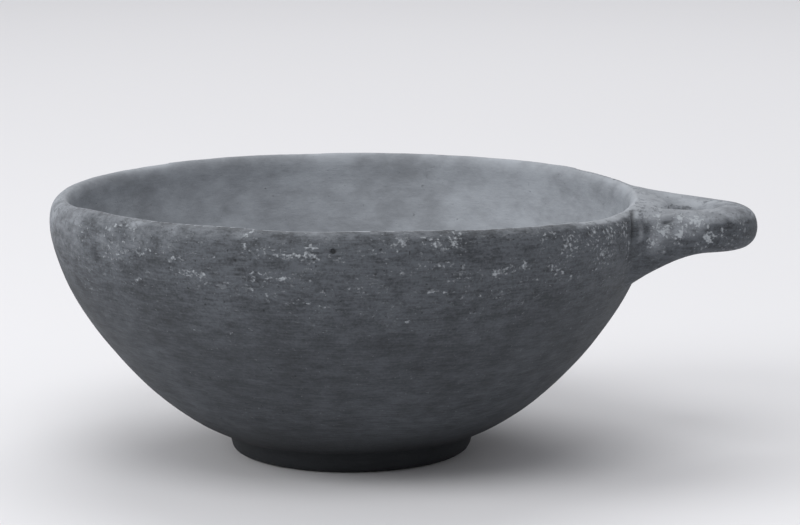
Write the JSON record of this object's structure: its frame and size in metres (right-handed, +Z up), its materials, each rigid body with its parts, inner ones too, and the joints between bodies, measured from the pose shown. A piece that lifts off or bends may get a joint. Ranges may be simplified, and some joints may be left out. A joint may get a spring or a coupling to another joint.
{
  "type": "bowl",
  "caption": "Deep round hand-made pottery bowl on a low disc foot, with one pointed horizontal loop handle at the rim.",
  "frame": {"origin": "centre of the foot's flat underside, on the axis of the round body", "axes": "+Z up along the axis of the body, +X towards the handle"},
  "size_m": [0.1763, 0.15, 0.0666],
  "materials": {
    "fired_clay": "matt smoothed earthenware, dark grey with faint wiping lines, pale lime crust under the rim and on the handle"
  },
  "bodies": {
    "root": {"bowl": "fired_clay"}
  },
  "joints": []
}
